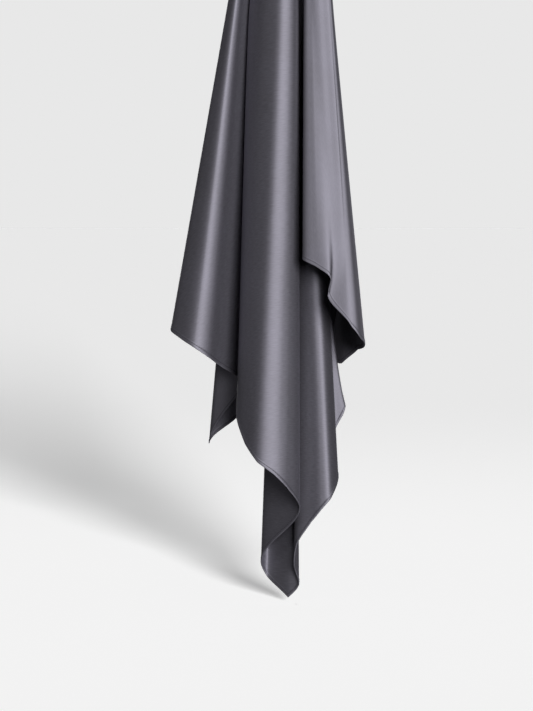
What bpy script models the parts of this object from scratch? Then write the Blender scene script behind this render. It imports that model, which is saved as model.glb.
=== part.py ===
"""Square satin scarf that hangs from a pinch near its middle.

The square's four corners hang at four heights round the pinch. Every fold is a
straight line in the cloth that runs down from the pinch to the hem, so the cloth
is a loft: a gathered neck, the section at the shoulder, and the hem. How far each
fold reaches down is worked out from the square's own edges.
Metres, +Z up, origin at the pinch. The front looks along -Y.
"""
import math

import bpy
import numpy as np

MM = 0.001

# The square and the point of it that is pinched
SIDE = 1165.0 * MM
PINCH_TO_FRONT_LEFT_EDGE = 690.0 * MM
PINCH_TO_FRONT_RIGHT_EDGE = 695.0 * MM

# The cloth's edges: the direction in the cloth of the shortest way from the pinch
# to each one, in degrees round the pinch from the front corner, and its length
EDGES = (
    ("front_left", -45.2, PINCH_TO_FRONT_LEFT_EDGE),
    ("front_right", 44.8, PINCH_TO_FRONT_RIGHT_EDGE),
    ("back_right", 134.8, SIDE - PINCH_TO_FRONT_LEFT_EDGE),
    ("back_left", 224.8, SIDE - PINCH_TO_FRONT_RIGHT_EDGE),
)

# How far below the pinch the neck and the shoulder section lie
NECK_DROP = 84.0 * MM
SHOULDER_DROP = 380.0 * MM
NECK_HALF_WIDTH = 15.5 * MM
NECK_HALF_DEPTH = 12.5 * MM

WALL = 1.0 * MM
SEAM_GAP = 0.3 * MM
COLUMNS_PER_FOLD = 4
ROWS_OF_NECK = 4
ROWS_OF_DRAPE = 9

SATIN_ROUGHNESS = 0.38

# The pinched middle: its flutes, and its rings from just above the neck upwards
FLUTES = 14
COLUMNS_PER_FLUTE = 4
TUFT_TOP = 25.0 * MM
TUFT_RINGS = (
    # height, half width, half depth, mm, and the depth of the flutes as a share
    (-83.2, 16.0, 13.0, 0.0),
    (-70.0, 14.2, 11.7, 0.03),
    (-48.0, 11.4, 9.8, 0.08),
    (-22.0, 9.0, 8.2, 0.12),
    (0.0, 8.0, 7.4, 0.12),
    (11.0, 8.8, 8.2, 0.10),
    (19.0, 7.2, 6.8, 0.07),
    (23.6, 3.6, 3.4, 0.03),
)

# The stretches of the one cloth, from the left side round the front. Each one starts
# half-way between its first fold and the fold before it, where the cloth lies straight
STRETCHES = (
    # name, first fold, colour
    ("left_panel", "left_rear", "#67646C"),
    ("front_panel", "body_side", "#6E6B73"),
    ("front_corner", "pleat_back", "#6A6770"),
    ("side_ridge", "ridge_front", "#716E77"),
    ("right_flap", "tuck_back", "#7A7780"),
    ("back_panel", "back_first_valley", "#5F5C64"),
    ("left_tail", "back_last_crest", "#4C4A51"),
)

# One row for each fold line, from the left side round the front, the right and the
# back. cloth: its direction in the cloth, degrees. lift: how much higher than the
# pinch that stretch of cloth was gathered, mm. x, y: how far it has gone sideways at
# the hem for each metre down, mm. shoulder_x, shoulder_y: the same at the shoulder.
# flare: 1 for a straight line, more where the fold spreads only near the hem.
FOLD_COLUMNS = ("fold", "cloth", "lift", "x", "y", "shoulder_x", "shoulder_y", "flare")
FOLDS = (
    ("left_fold", -28.6, 0, -176, -3, -176, 18, 1),
    ("left_brow", -26.8, 0, -160, -31, -169, -3, 1),
    ("left_crest", -25.4, 0, -141, -43, -161, -15, 1),
    ("left_slope", -23.8, 0, -120, -34, -151, -4, 1),
    ("left_under", -22.4, 0, -104, -9, -141, 14, 1),
    ("left_valley", -20.1, 0, -77, 28, -119, 31, 1),
    ("valley_lip", -18.9, 0, -76, -14, -125, 8, 1),
    ("body_side", -14.8, 0, -74, -36, -107, -22, 1),
    ("body_shoulder", -12.1, 0, -62, -55, -83, -52, 1),
    ("body_crest", -10.3, 0, -46, -70, -46, -76, 1),
    ("body_turn", -9.2, 0, -26, -70, -20, -76, 1),
    ("body_flank", -8.1, 0, -11, -63, -2, -66, 1),
    ("body_roll", -6.3, 0, 4, -43, 6, -46, 1),
    ("pleat_back", -2.2, 0, -37, 13, -39, 11, 1),
    ("corner_fold", -1.2, 0, -31, 25, -34, 29, 1),
    ("front_tip", 0.0, 0, -8, 8, -11, 18, 1),
    ("tip_side", 0.8, 0, 3, 1, -4, 8, 1),
    ("corner_rise", 2.1, 0, -2, -10, 3, -7, 1),
    ("corner_lift", 3.6, 0, 1, -19, 11, -19, 1),
    ("second_shoulder", 5.3, 0, 17, -28, 15, -38, 1),
    ("second_brow", 6.3, 0, 29, -33, 24, -40, 1),
    ("second_crest", 7.1, 0, 39, -33, 33, -30, 1),
    ("second_side", 8.8, 0, 49, -14, 44, -8, 1),
    ("second_valley", 10.2, 0, 44, 14, 39, 12, 1),
    ("ridge_front", 13.2, 0, 50, 25, 45, 24, 2),
    ("ridge_crest", 16.4, 0, 63, 31, 47, 29, 6),
    ("ridge_valley", 22.0, 0, 41, 48, 34, 42, 1),
    ("tuck_back", 28.7, 20, 57, 64, 53, 58, 1),
    ("tuck_side", 37.0, 44, 78, 12, 70, 11, 1),
    ("tuck_front", 40.1, 50, 67, -50, 61, -42, 1),
    ("tuck_middle", 49.0, 55, 33, -69, 37, -55, 1),
    ("flap_fold", 51.2, 59, 10, -92, 20, -88, 1),
    ("flap_face", 56.1, 60, 32, -100, 38, -95, 1),
    ("flap_ridge", 60.9, 62, 52, -102, 55, -98, 2),
    ("flap_trough", 64.9, 63, 46, -93, 69, -99, 7),
    ("flap_shoulder", 69.7, 64, 71, -97, 81, -97, 1),
    ("right_fold", 72.9, 66, 89, -86, 90, -90, 1),
    ("right_back", 74.8, 68, 85, 44, 89, 50, 1),
    ("right_under", 77.0, 73, 64, 68, 74, 70, 1),
    ("right_tip", 79.15, 77, 50, 88, 60, 87, 1),
    ("back_first_valley", 91.0, 0, 33, 93, 36, 89, 1),
    ("back_first_crest", 158.6, 0, 15, 121, 15, 119, 1),
    ("back_middle_valley", 169.3, 0, -8, 91, -8, 89, 1),
    ("back_tip", 179.5, 0, -29, 123, -29, 121, 1),
    ("back_last_valley", 195.9, 0, -48, 93, -48, 91, 1),
    ("back_last_crest", 250.7, 0, -69, 122, -69, 120, 1),
    ("tail_back", 279.0, 0, -71, 91, -78, 91, 1),
    ("left_tip", 280.55, 0, -106, 73, -128, 78, 1),
    ("tail_front", 287.7, 0, -71, 57, -84, 62, 1),
    ("tail_valley", 294.2, 0, -57, 51, -70, 56, 1),
    ("left_rear", 306.4, 0, -121, 36, -116, 48, 1),
)


def hem_reach(cloth_degrees):
    """Distance in the cloth from the pinch to the square's edge: the nearest of the
    four edges, each one its shortest distance over the cosine of the turn from it."""
    cloth = np.asarray(cloth_degrees, dtype=float)
    reaches = []
    for _, foot, shortest in EDGES:
        turn = np.radians((cloth - foot + 180.0) % 360.0 - 180.0)
        cosine = np.cos(turn)
        reach = np.where(cosine > 0.05, shortest / np.maximum(cosine, 0.05), np.inf)
        reaches.append(reach)
    return np.min(reaches, axis=0)


def column(name):
    """One named column of the fold table as an array."""
    place = FOLD_COLUMNS.index(name)
    return np.array([row[place] for row in FOLDS])


def closed_curve(values, knots, period, at):
    """A smooth closed curve through the fold points: between two of them a cubic
    whose slope at each point is the weighted mean of the two chords that meet there."""
    values = np.asarray(values, dtype=float)
    steps = np.diff(np.append(knots, knots[0] + period))
    chords = (np.roll(values, -1, axis=0) - values) / steps[:, None]
    before = np.roll(steps, 1)
    weights = (before / (before + steps))[:, None]
    slopes = np.roll(chords, 1, axis=0) * (1.0 - weights) + chords * weights
    at = np.asarray(at) % period
    place = np.clip(np.searchsorted(knots, at, side="right") - 1, 0, len(knots) - 1)
    after = (place + 1) % len(knots)
    step = steps[place][:, None]
    part = ((at - knots[place]) / steps[place])[:, None]
    start, end = values[place], values[after]
    rise = slopes[place] * step
    fall = slopes[after] * step
    square, cube = part ** 2, part ** 3
    return (start * (2 * cube - 3 * square + 1) + rise * (cube - 2 * square + part)
            + end * (3 * square - 2 * cube) + fall * (cube - square))


def fold_knots():
    """Each fold's place round the section: the sum of the square roots of the hem
    chords, which keeps the curve free of loops where folds lie close together."""
    points = np.stack([column("x"), column("y")], axis=1).astype(float)
    chords = np.linalg.norm(np.roll(points, -1, axis=0) - points, axis=1)
    ends = np.cumsum(np.sqrt(chords))
    return np.concatenate([[0.0], ends[:-1]]), ends[-1]


def cloth_lines(places):
    """The three points that each cloth line runs through, at the given places round
    the section: on the neck, at the shoulder and at the hem. With them, how far its
    slope turns from the shoulder to the hem, and its flare.
    The hem's height is what is left of the line's reach past its sideways spread."""
    knots, period = fold_knots()
    places = places % period
    front = column("fold").tolist().index("right_fold")
    half_way = knots[front]
    angle = np.where(
        places < half_way,
        math.pi + math.pi * places / half_way,
        2 * math.pi + math.pi * (places - half_way) / (period - half_way),
    )
    neck = np.stack([
        NECK_HALF_WIDTH * np.cos(angle),
        NECK_HALF_DEPTH * np.sin(angle),
        np.full(len(places), -NECK_DROP),
    ], axis=1)

    shoulder_spread = np.stack([column("shoulder_x"), column("shoulder_y")], axis=1)
    shoulder_spread = closed_curve(shoulder_spread * MM, knots, period, places)
    shoulder = np.column_stack([
        shoulder_spread * SHOULDER_DROP,
        np.full(len(places), -SHOULDER_DROP),
    ])

    cloth = np.unwrap(column("cloth").astype(float), period=360.0)
    turned = np.append(cloth, cloth[0] + 360.0)
    cloth_here = np.interp(places, np.append(knots, period), turned)
    lift = closed_curve(column("lift").astype(float)[:, None] * MM, knots, period, places)[:, 0]
    reach = hem_reach(cloth_here) - np.maximum(lift, 0.0)
    spread = np.stack([column("x"), column("y")], axis=1)
    spread = closed_curve(spread * MM, knots, period, places)
    drop = reach / np.sqrt(1.0 + np.sum(spread ** 2, axis=1))
    hem = np.column_stack([spread * drop[:, None], -drop])
    flare = closed_curve(column("flare").astype(float)[:, None], knots, period, places)[:, 0]
    return neck, shoulder, hem, spread - shoulder_spread, np.maximum(flare, 1.0)


def sheet_points(places, neck_rows, drape_rows):
    """The cloth's surface on a grid of points: each cloth line runs straight from the
    neck to the shoulder, and from there to the hem, where a flared one keeps the
    shoulder's slope for longer and turns near the hem."""
    neck, shoulder, hem, turn, flare = cloth_lines(places)
    upper = np.linspace(0.0, 1.0, neck_rows + 1)[:-1, None, None]
    neck_part = neck + (shoulder - neck) * upper
    along = np.linspace(0.0, 1.0, drape_rows + 1)[:, None, None]
    drape = shoulder + (hem - shoulder) * along
    late = along ** flare[None, :, None] - along
    drape[:, :, :2] -= late * drape[:, :, 2:] * turn
    return np.concatenate([neck_part, drape], axis=0)


def wall_from_grid(name, points, hex_colour, roughness, collection):
    """One stretch of cloth: the grid as an open surface, made a wall by Solidify. The
    faces are listed from the hem up, so the first one is a wide face and not a sliver."""
    rows, columns, _ = points.shape
    index = np.arange(rows * columns).reshape(rows, columns)
    faces = np.stack([
        index[:-1, :-1].ravel(),
        index[1:, :-1].ravel(),
        index[1:, 1:].ravel(),
        index[:-1, 1:].ravel(),
    ], axis=1)
    mesh = bpy.data.meshes.new(name)
    from_hem_up = faces.reshape(rows - 1, columns - 1, 4)[::-1].reshape(-1, 4)
    mesh.from_pydata(points.reshape(-1, 3).tolist(), [], from_hem_up.tolist())
    mesh.shade_smooth()
    piece = bpy.data.objects.new(name, mesh)
    collection.objects.link(piece)
    wall = piece.modifiers.new("cloth wall", "SOLIDIFY")
    wall.thickness = WALL
    wall.offset = 0.0
    wall.use_even_offset = True
    wall.thickness_clamp = 1.0
    mesh.materials.append(satin(name, hex_colour, roughness))
    return piece


def linear(hex_colour):
    """sRGB hex to the linear colour that a shader takes."""
    channels = [int(hex_colour[place:place + 2], 16) / 255.0 for place in (1, 3, 5)]
    straight = [c / 12.92 if c <= 0.04045 else ((c + 0.055) / 1.055) ** 2.4 for c in channels]
    return (*straight, 1.0)


def satin(name, hex_colour, roughness):
    """Slate satin for one stretch."""
    material = bpy.data.materials.new(name + " satin")
    material.use_nodes = True
    shader = material.node_tree.nodes["Principled BSDF"]
    shader.inputs["Base Color"].default_value = linear(hex_colour)
    shader.inputs["Roughness"].default_value = roughness
    shader.inputs["Metallic"].default_value = 0.0
    return material


def gathered_top(collection):
    """The pinched middle of the square: rings of soft flutes from just above the
    neck, in to the pinch and out to a small rounded tuft, closed at both ends."""
    turn = np.linspace(0.0, 2 * math.pi, FLUTES * COLUMNS_PER_FLUTE, endpoint=False)
    rings = []
    for height, half_width, half_depth, flute in TUFT_RINGS:
        swell = 1.0 + flute * np.cos(FLUTES * turn)
        ring = np.column_stack([
            half_width * swell * np.cos(turn),
            half_depth * swell * np.sin(turn),
            np.full(len(turn), height),
        ])
        rings.append(ring * MM)
    bottom = np.array([[0.0, 0.0, rings[0][0, 2]]])
    top = np.array([[0.0, 0.0, TUFT_TOP]])
    points = np.concatenate(rings + [bottom, top])

    count = len(turn)
    ring_index = np.arange(len(rings) * count).reshape(len(rings), count)
    onward = np.roll(ring_index, -1, axis=1)
    sides = np.stack([
        ring_index[:-1].ravel(),
        onward[:-1].ravel(),
        onward[1:].ravel(),
        ring_index[1:].ravel(),
    ], axis=1)
    bottom_index = len(rings) * count
    closes = [(bottom_index, b, a) for a, b in zip(ring_index[0], onward[0])]
    closes += [(bottom_index + 1, a, b) for a, b in zip(ring_index[-1], onward[-1])]
    mesh = bpy.data.meshes.new("gathered_top")
    mesh.from_pydata(points.tolist(), [], sides.tolist() + closes)
    mesh.shade_smooth()
    mesh.materials.append(satin("gathered_top", "#5A5760", SATIN_ROUGHNESS))
    piece = bpy.data.objects.new("gathered_top", mesh)
    collection.objects.link(piece)


def stretch_places(first, after):
    """Places round the section from half-way before fold number first to half-way
    before fold number after, with the same number of columns between two folds."""
    knots, period = fold_knots()
    folds = np.concatenate([knots - period, knots, knots + period, [2 * period]])
    count = len(knots)
    steps = np.arange(first * COLUMNS_PER_FOLD, after * COLUMNS_PER_FOLD + 1)
    steps = steps / COLUMNS_PER_FOLD - 0.5 + count
    return np.interp(steps, np.arange(len(folds)), folds)


def trimmed(points):
    """Both side edges of a stretch drawn in by half the seam gap, towards the next
    column, so that two stretches lie a seam gap apart."""
    points = points.copy()
    for edge, inner in ((0, 1), (-1, -2)):
        inward = points[:, inner] - points[:, edge]
        width = np.linalg.norm(inward, axis=1, keepdims=True)
        points[:, edge] += inward / width * SEAM_GAP / 2
    return points


def main():
    for leftover in list(bpy.data.objects):
        bpy.data.objects.remove(leftover)
    scarf = bpy.data.collections.new("square satin scarf")
    bpy.context.scene.collection.children.link(scarf)

    names = column("fold").tolist()
    firsts = [names.index(first_fold) for _, first_fold, _ in STRETCHES]
    afters = firsts[1:] + [firsts[0]]
    for (name, _, hex_colour), first, after in zip(STRETCHES, firsts, afters):
        if after <= first:
            after += len(names)
        points = sheet_points(stretch_places(first, after), ROWS_OF_NECK, ROWS_OF_DRAPE)
        wall_from_grid(name, trimmed(points), hex_colour, SATIN_ROUGHNESS, scarf)
    gathered_top(scarf)


if __name__ == "__main__":
    main()
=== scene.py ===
"""A square satin headscarf in slate grey, hanging in deep folds from a pinch.

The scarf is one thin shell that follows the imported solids: cloth lines run down from
the pinch, through a neck and a shoulder, to the hem of the square. A closed curve
through the fold table gives each line its place round the section. Fine pleats near
the pinch, soft creases and the narrow turned hem are added to that surface, and the
hem's stitches are small threads that lie on it. Lengths are in metres unless a name or
a table says millimetres.
"""

import math

import bpy
import numpy as np
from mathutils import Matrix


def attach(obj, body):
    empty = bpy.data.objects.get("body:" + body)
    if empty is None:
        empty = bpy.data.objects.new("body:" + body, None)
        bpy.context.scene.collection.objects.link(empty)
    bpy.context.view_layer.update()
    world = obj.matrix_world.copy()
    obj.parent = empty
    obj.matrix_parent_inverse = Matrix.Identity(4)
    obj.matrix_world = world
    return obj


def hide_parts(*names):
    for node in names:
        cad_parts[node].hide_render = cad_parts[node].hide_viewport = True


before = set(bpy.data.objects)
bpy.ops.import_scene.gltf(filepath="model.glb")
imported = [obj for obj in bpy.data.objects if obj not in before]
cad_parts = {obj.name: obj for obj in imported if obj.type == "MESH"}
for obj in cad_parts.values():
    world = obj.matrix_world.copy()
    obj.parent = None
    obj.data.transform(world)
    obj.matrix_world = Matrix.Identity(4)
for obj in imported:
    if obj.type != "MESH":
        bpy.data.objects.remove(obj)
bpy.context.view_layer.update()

MM = 0.001

# The cut: one square, and where it was pinched
SIDE = 1165.0 * MM
PINCH_TO_FRONT_LEFT_EDGE = 690.0 * MM
PINCH_TO_FRONT_RIGHT_EDGE = 695.0 * MM
EDGES = (
    # direction in the cloth of the edge's nearest point, degrees, and its distance
    (-45.2, PINCH_TO_FRONT_LEFT_EDGE),
    (44.8, PINCH_TO_FRONT_RIGHT_EDGE),
    (134.8, SIDE - PINCH_TO_FRONT_LEFT_EDGE),
    (224.8, SIDE - PINCH_TO_FRONT_RIGHT_EDGE),
)
# A cloth line meets an edge only where the cosine of the turn from it is more
LEAST_COSINE = 0.05

# The neck and the shoulder, as drops below the pinch
NECK_DROP = 84.0 * MM
NECK_HALF_WIDTH = 15.5 * MM
NECK_HALF_DEPTH = 12.5 * MM
SHOULDER_DROP = 380.0 * MM
SHOULDER_SOFTNESS = 45.0 * MM

# The cloth's thickness in the field and at the turned hem, how wide the hem is, how
# softly it starts, and how far from the edge its rim is rounded
CLOTH = 0.5 * MM
HEM = 1.1 * MM
HEM_WIDTH = 4.2 * MM
HEM_START = 0.5 * MM
RIM_ROUNDING = 0.7 * MM
# The closed tip of the gather: its thickness, and its distance from the hem
TIP_THICKNESS = 0.4 * MM
FAR_FROM_HEM = 1.0

# The hem's stitches: their distance from the edge, how wide and deep they press the
# cloth in, their pitch, the thread, about twice a real one's thickness so that it
# shows, and each one's profile, as shares of its half length and of its thickness
STITCH_LINE = 3.5 * MM
STITCH_PRESS_WIDTH = 0.5 * MM
STITCH_PRESS_DEPTH = 0.35
STITCH_PITCH = 2.6 * MM
STITCH_HALF_LENGTH = 0.40 * STITCH_PITCH
THREAD = 0.55 * MM
THREAD_FLATNESS = 1.3
STITCH_PROFILE = (
    # along, thickness
    (-1.0, 0.05),
    (-0.72, 0.8),
    (0.0, 1.0),
    (0.72, 0.8),
    (1.0, 0.05),
)
# Half the distance over which a stitch's direction is read off its line
RUN_STEP = 0.3 * MM

# How the hem looks: a painted highlight makes the rim paler up to where it fades out, and painted
# shade makes the cloth darker where the stitches press it in. Distances in mm, then brightness
RIM_HIGHLIGHT_FADE_MM, PAINTED_RIM_HIGHLIGHT = (0.4, 1.6), 1.35
STITCH_SHADE_FADE_MM, PAINTED_STITCH_SHADE = (0.2, 1.0), 0.62

# The grid of the shell. A part of its columns is shared out by the hem's length, and
# the rest evenly between the folds. The hem has rows of its own, at these distances
# from the edge, and one of them lies nearest the stitches, counted from the last
COLUMNS = 480
COLUMNS_BY_LENGTH = 0.55
FINE_STEPS = 6000
FOLDED_ROWS = 50
NECK_ROWS = 14
HEM_ROWS_MM = (16.0, 11.0, 8.0, 6.2, 5.2, 4.6, 4.1, 3.6, 3.2, 2.4, 1.5, 0.7, 0.25, 0.0)
STITCH_ROW = HEM_ROWS_MM.index(3.6) - len(HEM_ROWS_MM)

# The gathered top above the neck
TUFT_RINGS = (
    # height, half width, half depth, mm, and the depth of the pleats as a share
    (-84.0, 15.5, 12.5, 0.07),
    (-70.0, 13.6, 11.1, 0.09),
    (-56.0, 12.2, 10.2, 0.11),
    (-42.0, 10.9, 9.4, 0.13),
    (-28.0, 9.6, 8.6, 0.15),
    (-14.0, 8.4, 7.7, 0.16),
    (-4.0, 7.7, 7.1, 0.16),
    (3.0, 7.7, 7.1, 0.15),
    (9.0, 8.5, 7.9, 0.14),
    (14.0, 8.9, 8.3, 0.13),
    (18.5, 8.2, 7.7, 0.12),
    (21.8, 6.4, 6.1, 0.10),
    (23.9, 3.9, 3.7, 0.08),
    (24.7, 1.6, 1.5, 0.05),
)

# The fine pleats of the gather, as waves round the neck
PLEAT_WAVES = (
    # how many, size, phase, and how far the phase turns for each metre of height
    (14.0, 1.0, 1.1, 0.0),
    (28.0, 0.45, 2.0, 0.0),
    (9.0, 0.35, 0.4, 9.0),
)
PLEATS_END = 0.92 * SHOULDER_DROP

# One row for each fold line, from the left side round the front, the right and the
# back. cloth: its direction in the cloth, degrees. lift: how much higher than the
# pinch that stretch of cloth was gathered, mm. x, y: how far it has gone sideways at
# the hem for each metre down, mm. shoulder_x, shoulder_y: the same at the shoulder.
# flare: 1 for a straight line, more where the fold spreads only near the hem.
FOLD_COLUMNS = ("fold", "cloth", "lift", "x", "y", "shoulder_x", "shoulder_y", "flare")
FOLDS = (
    ("left_fold", -28.6, 0, -176, -3, -176, 18, 1),
    ("left_brow", -26.8, 0, -160, -30, -169, -5, 1),
    ("left_crest", -25.4, 0, -141, -42, -160, -12, 1),
    ("left_slope", -23.8, 0, -120, -36, -150, -7, 1),
    ("left_under", -22.4, 0, -104, -11, -140, 11, 1),
    ("left_valley", -20.1, 0, -77, 28, -119, 31, 1),
    ("valley_lip", -18.9, 0, -76, -14, -125, 8, 1),
    ("body_side", -14.8, 0, -74, -36, -107, -22, 1),
    ("body_shoulder", -12.1, 0, -62, -55, -83, -52, 1),
    ("body_crest", -10.3, 0, -46, -70, -46, -76, 1),
    ("body_turn", -9.2, 0, -26, -70, -20, -76, 1),
    ("body_flank", -8.1, 0, -11, -63, -2, -66, 1),
    ("body_roll", -6.3, 0, 4, -43, 6, -46, 1),
    ("pleat_back", -2.2, 0, -37, 13, -39, 11, 1),
    ("corner_fold", -1.2, 0, -31, 25, -34, 29, 1),
    ("front_tip", 0.0, 0, -8, 8, -11, 18, 1),
    ("tip_side", 0.8, 0, 3, 1, -4, 8, 1),
    ("corner_rise", 2.1, 0, -2, -10, 3, -7, 1),
    ("corner_lift", 3.6, 0, 1, -19, 11, -19, 1),
    ("second_shoulder", 5.3, 0, 17, -28, 15, -38, 1),
    ("second_brow", 6.3, 0, 29, -33, 24, -40, 1),
    ("second_crest", 7.1, 0, 39, -33, 33, -30, 1),
    ("second_side", 8.8, 0, 49, -14, 44, -8, 1),
    ("second_valley", 10.2, 0, 44, 14, 39, 12, 1),
    ("ridge_front", 13.2, 0, 47, 24, 44, 24, 2),
    ("ridge_crest", 16.4, 0, 63, 27, 47, 29, 6),
    ("ridge_valley", 22.0, 0, 41, 48, 34, 42, 1),
    ("tuck_back", 28.7, 20, 57, 64, 53, 58, 1),
    ("tuck_side", 37.0, 44, 78, 12, 70, 11, 1),
    ("tuck_front", 40.1, 50, 67, -50, 61, -42, 1),
    ("tuck_middle", 49.0, 55, 33, -69, 37, -55, 1),
    ("flap_fold", 51.2, 59, 10, -92, 20, -88, 1),
    ("flap_face", 56.1, 60, 32, -100, 38, -95, 1),
    ("flap_ridge", 60.9, 62, 52, -102, 55, -98, 5),
    ("flap_trough", 64.9, 63, 46, -94, 69, -99, 12),
    ("flap_shoulder", 71.0, 65, 78, -97, 85, -97, 1),
    ("right_fold", 72.9, 66, 89, -90, 90, -92, 1),
    ("right_back", 74.8, 68, 85, 44, 89, 50, 1),
    ("right_under", 77.0, 73, 64, 68, 74, 70, 1),
    ("right_tip", 79.15, 77, 50, 88, 60, 87, 1),
    ("back_first_valley", 91.0, 0, 33, 93, 36, 89, 1),
    ("back_first_crest", 158.6, 0, 15, 121, 15, 119, 1),
    ("back_middle_valley", 169.3, 0, -8, 91, -8, 89, 1),
    ("back_tip", 179.5, 0, -29, 123, -29, 121, 1),
    ("back_last_valley", 195.9, 0, -48, 93, -48, 91, 1),
    ("back_last_crest", 250.7, 0, -69, 122, -69, 120, 1),
    ("tail_back", 279.0, 0, -71, 91, -78, 91, 1),
    ("left_tip", 280.55, 0, -106, 73, -128, 78, 1),
    ("tail_front", 287.7, 0, -71, 57, -84, 62, 1),
    ("tail_valley", 294.2, 0, -57, 51, -70, 56, 1),
    ("left_rear", 306.4, 0, -121, 36, -116, 48, 1),
)

# Creases, listed one by one. fold, on: the fold line each runs beside, and how far on to the next
# one, 0 to 1. from, to: drops below the pinch, mm. width, depth: mm, with a ridge above 0 and a
# trough below.
CREASES = (
    # fold, on, from, to, width, depth
    ("left_rear", 0.45, 320, 680, 9, 0.5),
    ("left_brow", 0.40, 420, 700, 7, -0.2),
    ("body_shoulder", 0.60, 330, 840, 9, -0.25),
    ("body_flank", 0.55, 300, 600, 2, 0.9),
    ("body_turn", 0.60, 600, 880, 6, -0.3),
    ("body_roll", 0.30, 700, 900, 5, 0.5),
    ("second_shoulder", 0.35, 660, 900, 7, -0.3),
    ("right_fold", 0.45, 300, 680, 10, -0.4),
    ("right_back", 0.50, 330, 660, 9, 0.5),
    ("back_first_crest", 0.40, 180, 460, 9, -0.6),
    ("back_middle_valley", 0.50, 240, 560, 8, 0.5),
    ("back_tip", 0.40, 240, 600, 9, 0.5),
    ("back_last_crest", 0.45, 260, 580, 9, -0.6),
)
# The share of its length by which a crease has risen, and from which it falls again
CREASE_RISEN, CREASE_FALLS = 0.35, 0.7


def linear(hex_colour):
    """sRGB hex to the linear colour that a shader takes."""
    channels = [int(hex_colour[place:place + 2], 16) / 255.0 for place in (1, 3, 5)]
    straight = [c / 12.92 if c <= 0.04045 else ((c + 0.055) / 1.055) ** 2.4 for c in channels]
    return (*straight, 1.0)


# The form of the hanging cloth

def hem_reach(cloth_degrees):
    """Distance in the cloth from the pinch to the square's edge: the nearest of the
    four edges, each one its shortest distance over the cosine of the turn from it.
    An edge that the cloth line runs along, or away from, is out of reach."""
    reaches = []
    for foot, shortest in EDGES:
        turn = np.radians((cloth_degrees - foot + 180.0) % 360.0 - 180.0)
        cosine = np.cos(turn)
        met = cosine > LEAST_COSINE
        reaches.append(np.where(met, shortest / np.maximum(cosine, LEAST_COSINE), np.inf))
    return np.min(reaches, axis=0)


def column(name):
    """One named column of the fold table as an array."""
    place = FOLD_COLUMNS.index(name)
    return np.array([row[place] for row in FOLDS])


def closed_curve(values, knots, period, at):
    """A smooth closed curve through the fold points: between two of them a cubic
    whose slope at each point is the weighted mean of the two chords that meet there."""
    values = np.asarray(values, dtype=float)
    steps = np.diff(np.append(knots, knots[0] + period))
    chords = (np.roll(values, -1, axis=0) - values) / steps[:, None]
    before = np.roll(steps, 1)
    weights = (before / (before + steps))[:, None]
    slopes = np.roll(chords, 1, axis=0) * (1.0 - weights) + chords * weights
    at = np.asarray(at) % period
    place = np.clip(np.searchsorted(knots, at, side="right") - 1, 0, len(knots) - 1)
    after = (place + 1) % len(knots)
    step = steps[place][:, None]
    part = ((at - knots[place]) / steps[place])[:, None]
    start, end = values[place], values[after]
    rise = slopes[place] * step
    fall = slopes[after] * step
    square, cube = part ** 2, part ** 3
    return (start * (2 * cube - 3 * square + 1) + rise * (cube - 2 * square + part)
            + end * (3 * square - 2 * cube) + fall * (cube - square))


def fold_knots():
    """Each fold's place round the section: the sum of the square roots of the hem
    chords, which keeps the curve free of loops where folds lie close together."""
    points = np.stack([column("x"), column("y")], axis=1).astype(float)
    chords = np.linalg.norm(np.roll(points, -1, axis=0) - points, axis=1)
    ends = np.cumsum(np.sqrt(chords))
    return np.concatenate([[0.0], ends[:-1]]), ends[-1]


def neck_angle(places, knots, period):
    """How far round the neck each cloth line starts: the left side to the right fold
    takes the front half turn, and the rest takes the back half."""
    right = knots[column("fold").tolist().index("right_fold")]
    return np.where(
        places < right,
        math.pi + math.pi * places / right,
        2 * math.pi + math.pi * (places - right) / (period - right),
    )


def even_places(knots, period, count):
    """Places round the section that share out the columns by the hem's length, with
    a part shared evenly between the folds so that tight turns keep enough of them.
    The nearest column moves onto each fold line, so that the corners stay sharp."""
    fine = np.linspace(0.0, period, FINE_STEPS + 1)
    spread = np.stack([column("x"), column("y")], axis=1)
    path = closed_curve(spread, knots, period, fine)
    steps = np.linalg.norm(np.diff(path, axis=0), axis=1)
    evenly = (1.0 - COLUMNS_BY_LENGTH) / len(steps)
    share = np.cumsum(COLUMNS_BY_LENGTH * steps / steps.sum() + evenly)
    places = np.interp(np.arange(count) / count, np.append(0.0, share), fine)
    nearest = np.abs(places[:, None] - knots).argmin(axis=0)
    places[nearest] = knots
    return places


def soft_elbow(drop, start, end, bend_at, softness):
    """Sideways place at each drop of a line with slope start above a bend and slope
    end below it, rounded into a hyperbola: the mean slope times the drop past the
    bend, plus half the change of slope times the root of drop and softness squared."""
    past = drop - bend_at
    rounded = np.sqrt(past ** 2 + softness ** 2)
    return (start + end) / 2 * past + (end - start) / 2 * rounded


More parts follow.
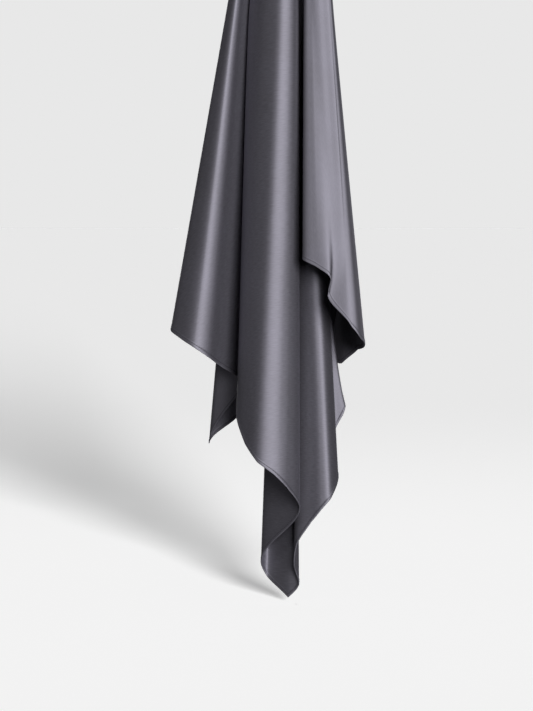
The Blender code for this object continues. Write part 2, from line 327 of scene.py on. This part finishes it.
def folded_cloth(places, knots, period):
    """The cloth's middle surface as points [row, column], with how far along the cloth
    each lies from the hem and its direction in the cut.

    Each cloth line falls from the neck by soft_elbow through the shoulder to the hem.
    Its hem height is what is left of the line's reach past its sideways spread."""
    angle = neck_angle(places, knots, period)
    neck = np.stack([NECK_HALF_WIDTH * np.cos(angle), NECK_HALF_DEPTH * np.sin(angle)], axis=1)
    shoulder_spread = np.stack([column("shoulder_x"), column("shoulder_y")], axis=1)
    shoulder_spread = closed_curve(shoulder_spread * MM, knots, period, places)
    shoulder = shoulder_spread * SHOULDER_DROP
    spread = np.stack([column("x"), column("y")], axis=1)
    spread = closed_curve(spread * MM, knots, period, places)

    cloth = np.unwrap(column("cloth").astype(float), period=360.0)
    turned = np.append(cloth, cloth[0] + 360.0)
    direction = np.interp(places, np.append(knots, period), turned)
    lift = closed_curve(column("lift").astype(float)[:, None] * MM, knots, period, places)[:, 0]
    reach = hem_reach(direction) - np.maximum(lift, 0.0)
    slant = np.sqrt(1.0 + np.sum(spread ** 2, axis=1))
    hem_drop = reach / slant
    hem = spread * hem_drop[:, None]
    flare = closed_curve(column("flare").astype(float)[:, None], knots, period, places)[:, 0]
    flare = np.maximum(flare, 1.0)

    # rows: even steps from neck to shoulder and on to the hem, then the hem's own rows
    upper = np.linspace(NECK_DROP, SHOULDER_DROP, NECK_ROWS + 1)[:-1]
    hem_rows = np.array(HEM_ROWS_MM) * MM
    lower_end = hem_drop - hem_rows[0]
    along = np.linspace(0.0, 1.0, FOLDED_ROWS, endpoint=False)[:, None]
    lower = SHOULDER_DROP + (lower_end - SHOULDER_DROP) * along
    last = hem_drop - hem_rows[:, None]
    drop = np.concatenate([np.repeat(upper[:, None], len(places), axis=1), lower, last])

    above = (shoulder - neck) / (SHOULDER_DROP - NECK_DROP)
    below = (hem - shoulder) / (hem_drop - SHOULDER_DROP)[:, None]
    share = np.clip((drop - SHOULDER_DROP) / (hem_drop - SHOULDER_DROP), 0.0, 1.0)
    points = np.empty(drop.shape + (3,))
    for axis in (0, 1):
        side = soft_elbow(drop, above[:, axis], below[:, axis], SHOULDER_DROP, SHOULDER_SOFTNESS)
        held_back = (share ** flare - share) * drop * (spread - shoulder_spread)[:, axis]
        points[..., axis] = shoulder[:, axis] + side + held_back
    points[..., 2] = -drop
    return points, (hem_drop - drop) * slant, direction


def gathered_rows(places, knots, period):
    """The gathered top above the neck as points [row, column]: an ellipse for each
    ring, its height and half axes taken from the ring table."""
    angle = neck_angle(places, knots, period)
    rings = np.array(TUFT_RINGS[1:][::-1])
    across = rings[:, 1, None] * np.cos(angle) * MM
    deep = rings[:, 2, None] * np.sin(angle) * MM
    high = np.repeat(rings[:, 0, None] * MM, len(places), axis=1)
    return np.stack([across, deep, high], axis=2)


def outward(points):
    """Unit normals of the grid, from the cross product of its two central
    differences: down the rows, and round the columns, which close on themselves."""
    down = np.gradient(points, axis=0)
    round_ = np.roll(points, -1, axis=1) - np.roll(points, 1, axis=1)
    normal = np.cross(down, round_)
    return normal / np.maximum(np.linalg.norm(normal, axis=2, keepdims=True), 1e-12)


def smooth_step(low, high, value):
    """0 below low, 1 above high, and a cubic between them."""
    part = np.clip((value - low) / (high - low), 0.0, 1.0)
    return part * part * (3.0 - 2.0 * part)


def pleats(points, angle):
    """How far the fine pleats of the gather stand out, metres: the sum of the cosines
    in the wave table, deepest near the pinch and gone just above the shoulder."""
    height = points[..., 2]
    rings = np.array(TUFT_RINGS)
    share = np.interp(height, rings[:, 0] * MM, rings[:, 3])
    radius = np.hypot(points[..., 0], points[..., 1])
    fade = 1.0 - smooth_step(NECK_DROP, PLEATS_END, -height)
    wave = sum(size * np.cos(count * angle + phase + twist * height)
               for count, size, phase, twist in PLEAT_WAVES)
    return wave * share * np.minimum(radius, NECK_HALF_WIDTH) * fade


def creases(points, knots, places, period):
    """How far the listed creases stand out, metres. Each is its depth times a bell curve across
    the cloth, times a smooth rise and fall down its length."""
    steps = np.linalg.norm(np.diff(points, axis=1, append=points[:, :1]), axis=2)
    length = np.cumsum(steps, axis=1) - steps
    whole = steps.sum(axis=1)
    drop = -points[..., 2]
    names = column("fold").tolist()
    ends = np.append(knots, period)
    height = np.zeros(drop.shape)
    for fold, on, top, bottom, width, depth in CREASES:
        row = names.index(fold)
        place = ends[row] + on * (ends[row + 1] - ends[row])
        middle = np.array([np.interp(place, places, line) for line in length])
        across = np.abs(length - middle[:, None])
        across = np.minimum(across, whole[:, None] - across)
        run = (drop - top * MM) / ((bottom - top) * MM)
        swell = smooth_step(0.0, CREASE_RISEN, run) * (1.0 - smooth_step(CREASE_FALLS, 1.0, run))
        height += depth * MM * np.exp(-(across / (width * MM)) ** 2) * swell
    return height


def cloth_surface():
    """The cloth's middle surface with its pleats and creases, as points [row, column],
    with its unit normals, its distance from the hem and its direction in the cut."""
    knots, period = fold_knots()
    places = even_places(knots, period, COLUMNS)
    angle = neck_angle(places, knots, period)
    folded, from_hem, direction = folded_cloth(places, knots, period)
    top = gathered_rows(places, knots, period)
    points = np.concatenate([top, folded])
    far = np.repeat(from_hem[:1], len(top), axis=0) + (top[..., 2] + NECK_DROP)
    from_hem = np.concatenate([far, from_hem])

    lift = pleats(points, angle) + creases(points, knots, places, period)
    points = points + outward(points) * lift[..., None]
    return points, outward(points), from_hem, direction


def thickness(from_hem):
    """The cloth's thickness at each distance from the hem: more over the turned hem,
    less by a bell curve along the stitches, and down to half by a root at the rim."""
    turned = 1.0 - smooth_step(HEM_WIDTH - HEM_START, HEM_WIDTH + HEM_START, from_hem)
    pressed = STITCH_PRESS_DEPTH * np.exp(-((from_hem - STITCH_LINE) / STITCH_PRESS_WIDTH) ** 2)
    rim = np.sqrt(0.25 + 0.75 * np.clip(from_hem / RIM_ROUNDING, 0.0, 1.0))
    return (CLOTH + (HEM - CLOTH) * turned * (1.0 - pressed)) * rim


def scarf_shell(points, normal, from_hem, direction):
    """The whole scarf as one closed thin wall: the middle surface moved out and in by
    half the cloth's thickness, closed along the rim and at the top."""
    thick = thickness(from_hem)
    outer = points + normal * thick[..., None] / 2
    inner = points - normal * thick[..., None] / 2

    rows, columns, _ = points.shape
    grid = np.arange(rows * columns).reshape(rows, columns)
    inner_grid = grid + rows * columns
    walls = np.concatenate([quads(grid), quads(inner_grid)[:, ::-1]])
    rim, inner_rim = grid[-1], inner_grid[-1]
    edge = np.stack([rim, inner_rim, np.roll(inner_rim, -1), np.roll(rim, -1)], axis=1)
    tip = points[0].mean(axis=0)
    tips = np.array([tip + [0.0, 0.0, TIP_THICKNESS], tip])
    first = 2 * rows * columns
    caps = np.concatenate([
        np.stack([np.full(columns, first), grid[0], np.roll(grid[0], -1)], axis=1),
        np.stack([np.full(columns, first + 1), np.roll(inner_grid[0], -1), inner_grid[0]], axis=1),
    ])
    vertices = np.concatenate([outer.reshape(-1, 3), inner.reshape(-1, 3), tips])

    # the place in the flat cut, metres from the pinch: towards the front corner, and
    # across, the way that the satin's streaks run
    reach = np.maximum(hem_reach(direction) - from_hem, 0.0)
    towards = reach * np.cos(np.radians(direction))
    across = reach * np.sin(np.radians(direction))
    cut = np.stack([towards, across], axis=2).reshape(-1, 2)
    cut = np.concatenate([cut, cut, [[0.0, 0.0], [0.0, 0.0]]])
    hem = np.concatenate([from_hem.ravel(), from_hem.ravel(), [FAR_FROM_HEM, FAR_FROM_HEM]])
    return mesh_piece("scarf", vertices, np.concatenate([walls, edge]), caps, cut, hem)


def along_line(line, values, distance):
    """Values of a closed line's points interpolated at distances along it."""
    closed = np.concatenate([line, line[:1]])
    steps = np.linalg.norm(np.diff(closed, axis=0), axis=1)
    length = np.append(0.0, np.cumsum(steps))
    ends = np.concatenate([values, values[:1]])
    return np.stack([np.interp(distance, length, ends[:, axis]) for axis in range(3)], axis=1)


def unit(vectors):
    """Vectors scaled to length one."""
    return vectors / np.linalg.norm(vectors, axis=1, keepdims=True)


def hem_stitches(points, normal, from_hem):
    """The stitches of the hem on both faces of the cloth, each a small thread that
    swells from a point at both ends: a four-sided ring at each station along it."""
    above, below = from_hem[STITCH_ROW - 1], from_hem[STITCH_ROW + 1]
    part = ((above - STITCH_LINE) / (above - below))[:, None]
    line = points[STITCH_ROW - 1] * (1.0 - part) + points[STITCH_ROW + 1] * part
    around = np.linalg.norm(line - np.roll(line, -1, axis=0), axis=1).sum()
    count = int(around / STITCH_PITCH)
    middles = (np.arange(count) + 0.5) * around / count
    seats = along_line(line, line, middles)
    run = unit(along_line(line, line, middles + RUN_STEP)
               - along_line(line, line, middles - RUN_STEP))

    profile = np.array(STITCH_PROFILE)
    stations = profile[:, 0] * STITCH_HALF_LENGTH
    swell = profile[:, 1] * THREAD / 2
    turn = np.arange(4) * math.pi / 2 + math.pi / 4
    threads = []
    for face in (1.0, -1.0):
        up = unit(along_line(line, normal[STITCH_ROW], middles) * face)
        sideways = np.cross(run, up)
        seat = seats + up * thickness(np.array(STITCH_LINE)) / 2
        ring = (sideways[:, None, None] * np.cos(turn)[:, None] * THREAD_FLATNESS
                + up[:, None, None] * np.sin(turn)[:, None]) * swell[:, None, None]
        threads.append(seat[:, None, None] + run[:, None, None] * stations[:, None, None] + ring)
    vertices = np.concatenate(threads).reshape(-1, 3)

    grid = np.arange(len(vertices)).reshape(-1, len(profile), len(turn))
    onward = np.roll(grid, -1, axis=2)
    sides = np.stack([grid[:, :-1], grid[:, 1:], onward[:, 1:], onward[:, :-1]], axis=-1)
    ends = np.concatenate([grid[:, 0], grid[:, -1, ::-1]])
    faces = np.concatenate([sides.reshape(-1, 4), ends])
    no_triangles = np.empty((0, 3), dtype=int)
    no_cut, no_hem = np.zeros((len(vertices), 2)), np.zeros(len(vertices))
    return mesh_piece("hem_stitching", vertices, faces, no_triangles, no_cut, no_hem)


def quads(grid):
    """Four-sided faces of a grid of vertex numbers whose columns close on themselves."""
    onward = np.roll(grid, -1, axis=1)
    return np.stack([
        grid[:-1].ravel(), grid[1:].ravel(), onward[1:].ravel(), onward[:-1].ravel(),
    ], axis=1)


def mesh_piece(name, vertices, four_sided, three_sided, flat, hem):
    """A mesh object at the origin from arrays, with the cut's coordinates as its UV
    map and each vertex's distance from the hem, mm, as an attribute."""
    corners = np.concatenate([four_sided.ravel(), three_sided.ravel()])
    sizes = np.concatenate([np.full(len(four_sided), 4), np.full(len(three_sided), 3)])
    starts = np.concatenate([[0], np.cumsum(sizes)[:-1]])
    mesh = bpy.data.meshes.new(name)
    mesh.vertices.add(len(vertices))
    mesh.vertices.foreach_set("co", vertices.astype(np.float32).ravel())
    mesh.loops.add(len(corners))
    mesh.loops.foreach_set("vertex_index", corners.astype(np.int32))
    mesh.polygons.add(len(sizes))
    mesh.polygons.foreach_set("loop_start", starts.astype(np.int32))
    mesh.update(calc_edges=True)
    mesh.shade_smooth()
    uv = mesh.uv_layers.new(name="cut")
    uv.data.foreach_set("uv", flat[corners].astype(np.float32).ravel())
    attribute = mesh.attributes.new("from_hem", "FLOAT", "POINT")
    attribute.data.foreach_set("value", (hem / MM).astype(np.float32))
    piece = bpy.data.objects.new(name, mesh)
    bpy.context.scene.collection.objects.link(piece)
    return piece


# Materials

def add(tree, kind, settings=None, links=None):
    """Adds a node with its settings, and its inputs set to values or linked sockets."""
    node = tree.nodes.new(kind)
    for name, value in (settings or {}).items():
        setattr(node, name, value)
    for socket, value in (links or {}).items():
        if isinstance(value, bpy.types.NodeSocket):
            tree.links.new(value, node.inputs[socket])
        else:
            node.inputs[socket].default_value = value
    return node


def slate_satin():
    """Polyester charmeuse, woven with its floats on the face: a wide silky highlight on a dark
    body, a fine thread grain and faint clouding. Along the hem, a painted highlight makes the rim
    paler and painted shade darkens a line where the stitches press it in."""
    material = bpy.data.materials.new("slate satin")
    material.use_nodes = True
    tree = material.node_tree
    tree.nodes.clear()
    cut = add(tree, "ShaderNodeUVMap", {"uv_map": "cut"})
    place = add(tree, "ShaderNodeTexCoord")

    # threads: one row each 0.9 mm across the floats, ten times coarser than the real
    # weave, so that it shows, and 7 mm long
    threads_at = add(tree, "ShaderNodeMapping", links={
        "Vector": cut.outputs["UV"], "Scale": (1100.0, 140.0, 1.0)})
    threads = add(tree, "ShaderNodeTexNoise", links={
        "Vector": threads_at.outputs["Vector"], "Scale": 1.0, "Detail": 2.0, "Roughness": 0.6})
    clouds = add(tree, "ShaderNodeTexNoise", links={
        "Vector": place.outputs["Object"], "Scale": 28.0, "Detail": 2.0, "Roughness": 0.5})

    shade = add(tree, "ShaderNodeMix", {"data_type": "RGBA"}, {
        "Factor": clouds.outputs["Fac"], "A": linear("#737179"), "B": linear("#7B7983")})
    grain = add(tree, "ShaderNodeMapRange", links={
        "Value": threads.outputs["Fac"], "From Min": 0.3, "From Max": 0.7,
        "To Min": 0.86, "To Max": 1.10})
    colour = add(tree, "ShaderNodeVectorMath", {"operation": "SCALE"}, {
        0: shade.outputs["Result"], "Scale": grain.outputs["Result"]})
    hem = add(tree, "ShaderNodeAttribute", {"attribute_name": "from_hem"})
    # painted highlight: the colour is made paler near the rim of the hem
    rim = add(tree, "ShaderNodeMapRange", {"interpolation_type": "SMOOTHSTEP"}, {
        "Value": hem.outputs["Fac"], "From Min": RIM_HIGHLIGHT_FADE_MM[0], "From Max": RIM_HIGHLIGHT_FADE_MM[1],
        "To Min": PAINTED_RIM_HIGHLIGHT, "To Max": 1.0})
    off_line = add(tree, "ShaderNodeMath", {"operation": "SUBTRACT"}, {
        0: hem.outputs["Fac"], 1: STITCH_LINE / MM})
    beside = add(tree, "ShaderNodeMath", {"operation": "ABSOLUTE"}, {
        0: off_line.outputs["Value"]})
    # painted shade: the colour is made darker along the stitch line
    painted_stitch_shade = add(tree, "ShaderNodeMapRange", {"interpolation_type": "SMOOTHSTEP"}, {
        "Value": beside.outputs["Value"],
        "From Min": STITCH_SHADE_FADE_MM[0], "From Max": STITCH_SHADE_FADE_MM[1],
        "To Min": PAINTED_STITCH_SHADE, "To Max": 1.0})
    # the painted rim highlight and the painted stitch shade together
    edge = add(tree, "ShaderNodeMath", {"operation": "MULTIPLY"}, {
        0: rim.outputs["Result"], 1: painted_stitch_shade.outputs["Result"]})
    hem_colour_with_painted_light = add(tree, "ShaderNodeVectorMath", {"operation": "SCALE"}, {
        0: colour.outputs["Vector"], "Scale": edge.outputs["Value"]})
    rough = add(tree, "ShaderNodeMapRange", links={
        "Value": threads.outputs["Fac"], "To Min": 0.63, "To Max": 0.70})
    bump = add(tree, "ShaderNodeBump", links={
        "Height": threads.outputs["Fac"], "Strength": 0.15, "Distance": 0.2 * MM})
    tangent = add(tree, "ShaderNodeTangent", {"direction_type": "UV_MAP", "uv_map": "cut"})
    shader = add(tree, "ShaderNodeBsdfPrincipled", links={
        "Base Color": hem_colour_with_painted_light.outputs["Vector"],
        "Metallic": 0.9,
        "Roughness": rough.outputs["Result"],
        "IOR": 1.5,
        "Normal": bump.outputs["Normal"],
        "Tangent": tangent.outputs["Tangent"],
        "Anisotropic": 0.25,
        "Sheen Weight": 0.05,
        "Sheen Roughness": 0.5,
    })
    shader.inputs["Sheen Tint"].default_value = linear("#C9C7D2")
    out = add(tree, "ShaderNodeOutputMaterial")
    tree.links.new(shader.outputs["BSDF"], out.inputs["Surface"])
    return material


def sewing_thread():
    """Spun polyester sewing thread, darker than the satin: a dull dotted line that
    shows where the hem is sewn."""
    material = bpy.data.materials.new("dark grey sewing thread")
    material.use_nodes = True
    tree = material.node_tree
    place = add(tree, "ShaderNodeTexCoord")
    fuzz = add(tree, "ShaderNodeTexNoise", links={
        "Vector": place.outputs["Object"], "Scale": 900.0, "Detail": 1.0})
    shade = add(tree, "ShaderNodeMix", {"data_type": "RGBA"}, {
        "Factor": fuzz.outputs["Fac"], "A": linear("#3E3C44"), "B": linear("#53515A")})
    shader = tree.nodes["Principled BSDF"]
    tree.links.new(shade.outputs["Result"], shader.inputs["Base Color"])
    shader.inputs["Roughness"].default_value = 0.75
    return material


def studio_floor_paper():
    """Seamless pale studio paper, lit by the room and the low light: a matt face with a glow of
    its own, and a painted pool of light that makes it a little brighter near the scarf."""
    material = bpy.data.materials.new("pale studio paper, floor")
    material.use_nodes = True
    tree = material.node_tree
    place = add(tree, "ShaderNodeTexCoord")
    far = add(tree, "ShaderNodeVectorMath", {"operation": "LENGTH"}, {
        0: place.outputs["Object"]})
    # the paper's own glow, which paints a pool of light round the scarf that fades out to the
    # room's level
    glow = add(tree, "ShaderNodeMapRange", {"interpolation_type": "SMOOTHSTEP"}, {
        "Value": far.outputs["Value"], "From Min": PAINTED_POOL_FROM, "From Max": PAINTED_POOL_TO,
        "To Min": PAINTED_POOL_LEVEL - LIGHT_ON_FLOOR, "To Max": ROOM_LEVEL - LIGHT_ON_FLOOR})
    shader = tree.nodes["Principled BSDF"]
    shader.inputs["Base Color"].default_value = (PAPER, PAPER, PAPER, 1.0)
    shader.inputs["Roughness"].default_value = 1.0
    shader.inputs["Specular IOR Level"].default_value = 0.0
    shader.inputs["Emission Color"].default_value = (1.0, 1.0, 1.0, 1.0)
    tree.links.new(glow.outputs["Result"], shader.inputs["Emission Strength"])
    return material


def studio_wall_paper():
    """The same paper far off, on the wall, where only the room's even light is seen."""
    material = bpy.data.materials.new("pale studio paper, wall")
    material.use_nodes = True
    tree = material.node_tree
    shader = tree.nodes["Principled BSDF"]
    shader.inputs["Base Color"].default_value = (0.0, 0.0, 0.0, 1.0)
    shader.inputs["Roughness"].default_value = 1.0
    shader.inputs["Specular IOR Level"].default_value = 0.0
    shader.inputs["Emission Color"].default_value = (1.0, 1.0, 1.0, 1.0)
    shader.inputs["Emission Strength"].default_value = ROOM_LEVEL
    return material


# The stage, the camera and the lights

FLOOR_HEIGHT = -985.0 * MM
FLOOR_RADIUS = 14.0
FLOOR_RINGS = (0.001, 0.5, 2.0, 6.0, FLOOR_RADIUS)
WALL_HEIGHT = 9.0
WALL_RINGS = 6
STAGE_COLUMNS = 128

# The key on the scarf and the low light that throws its shadow on the floor: their
# directions and soft size, degrees, and strength. The even light of the room
KEY_AZIMUTH, KEY_ELEVATION, KEY_SOFTNESS = 17.0, 13.0, 28.0
KEY_STRENGTH = 4.4
LOW_AZIMUTH, LOW_ELEVATION, LOW_SOFTNESS = 8.5, 8.5, 8.5
LOW_STRENGTH = 12.0
AMBIENT = 0.05
FILL_DISTANCE = 3.2
FILLS = (
    # name, azimuth and elevation, degrees, size, metres, and power, watts
    ("left fill", -62.0, 8.0, 1.2, 4.0),
    ("back fill", 190.0, 25.0, 1.8, 80.0),
)

# Linear brightness of the paper: its own, the painted pool of light round the scarf and the room
# beyond it, with how far out the painted pool ends, metres
PAPER = 0.80
PAINTED_POOL_LEVEL, ROOM_LEVEL = 0.890, 0.807
PAINTED_POOL_FROM, PAINTED_POOL_TO = 0.6, 3.4
LOW_ON_FLOOR = LOW_STRENGTH * math.sin(math.radians(LOW_ELEVATION)) / math.pi
LIGHT_ON_FLOOR = PAPER * (LOW_ON_FLOOR + AMBIENT)


def stage_piece(name, radius, height, material):
    """A surface of the studio: a profile of radius and height turned about the
    vertical. It is seen, and takes the scarf's shadow, but lights and shades nothing."""
    turn = np.linspace(0.0, 2 * math.pi, STAGE_COLUMNS, endpoint=False)
    points = np.stack([
        radius[:, None] * np.cos(turn), radius[:, None] * np.sin(turn),
        np.repeat(height[:, None], len(turn), axis=1),
    ], axis=2)
    rows, columns, _ = points.shape
    grid = np.arange(rows * columns).reshape(rows, columns)
    mesh = bpy.data.meshes.new(name)
    mesh.from_pydata(points.reshape(-1, 3).tolist(), [], quads(grid).tolist())
    mesh.shade_smooth()
    mesh.materials.append(material)
    piece = bpy.data.objects.new(name, mesh)
    piece.visible_diffuse = False
    piece.visible_glossy = False
    piece.visible_shadow = False
    bpy.context.scene.collection.objects.link(piece)
    return piece


def stage():
    """A flat round floor below the scarf and a round wall far off."""
    floor = stage_piece("studio_floor", np.array(FLOOR_RINGS),
                        np.zeros(len(FLOOR_RINGS)), studio_floor_paper())
    floor.location.z = FLOOR_HEIGHT
    wall_height = np.linspace(FLOOR_HEIGHT, WALL_HEIGHT, WALL_RINGS)
    stage_piece("studio_wall", np.full(WALL_RINGS, FLOOR_RADIUS), wall_height,
                studio_wall_paper())
    return floor


# The photo: how much of the scarf its height shows, the point at its centre, how far
# off it was taken, and from how many degrees up
FRAME_HEIGHT = 711.0 * MM
VIEW_CENTRE = (-29.5 * MM, 0.0, -735.5 * MM)
VIEW_DISTANCE = 5.0
VIEW_ELEVATION = 3.0
SENSOR_MM = 36.0
CLIP_FROM, CLIP_TO = 0.1, 60.0


def camera():
    """A camera in front of the scarf that looks slightly down on it."""
    data = bpy.data.cameras.new("camera")
    data.sensor_width = SENSOR_MM
    data.lens = SENSOR_MM * VIEW_DISTANCE / FRAME_HEIGHT
    seen = bpy.data.objects.new("camera", data)
    rise = math.radians(VIEW_ELEVATION)
    centre = np.array(VIEW_CENTRE)
    seen.location = centre + VIEW_DISTANCE * np.array([0.0, -math.cos(rise), math.sin(rise)])
    seen.rotation_euler = (math.pi / 2 - rise, 0.0, 0.0)
    data.clip_start, data.clip_end = CLIP_FROM, CLIP_TO
    bpy.context.scene.collection.objects.link(seen)
    bpy.context.scene.camera = seen


def light(name, kind, azimuth, elevation, strength, only):
    """A light that shines at the scarf from an azimuth, to the right of the camera,
    and an elevation, in degrees, and reaches only the pieces given."""
    data = bpy.data.lights.new(name, kind)
    data.energy = strength
    piece = bpy.data.objects.new(name, data)
    turn, rise = math.radians(azimuth), math.radians(elevation)
    piece.rotation_euler = (math.pi / 2 - rise, 0.0, turn)
    level = math.cos(rise)
    way = np.array([math.sin(turn) * level, -math.cos(turn) * level, math.sin(rise)])
    piece.location = np.array(VIEW_CENTRE) + FILL_DISTANCE * way
    reached = bpy.data.collections.new("lit by the " + name)
    for lit in only:
        reached.objects.link(lit)
    piece.light_linking.receiver_collection = reached
    bpy.context.scene.collection.objects.link(piece)
    return data


def lights(on_scarf, on_floor):
    """A large soft key a little right of the camera, fills from the left and the
    back, a low light for the shadow on the floor, and the room's even light."""
    key = light("key", "SUN", KEY_AZIMUTH, KEY_ELEVATION, KEY_STRENGTH, on_scarf)
    key.angle = math.radians(KEY_SOFTNESS)
    low = light("low light", "SUN", LOW_AZIMUTH, LOW_ELEVATION, LOW_STRENGTH, on_floor)
    low.angle = math.radians(LOW_SOFTNESS)
    for name, azimuth, elevation, size, power in FILLS:
        light(name, "AREA", azimuth, elevation, power, on_scarf).size = size

    world = bpy.data.worlds.new("room")
    world.use_nodes = True
    background = world.node_tree.nodes["Background"]
    background.inputs["Color"].default_value = (1.0, 1.0, 1.0, 1.0)
    background.inputs["Strength"].default_value = AMBIENT
    bpy.context.scene.world = world


camera()
floor = stage()
surface, facing, from_hem, direction = cloth_surface()
scarf = scarf_shell(surface, facing, from_hem, direction)
scarf.data.materials.append(slate_satin())
stitching = hem_stitches(surface, facing, from_hem)
stitching.data.materials.append(sewing_thread())
lights([scarf, stitching], [floor])
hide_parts("gathered_top", "left_panel", "front_panel", "front_corner",
            "side_ridge", "right_flap", "back_panel", "left_tail")
for piece in (scarf, stitching):
    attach(piece, "root")

bpy.context.scene.view_settings.view_transform = "Standard"
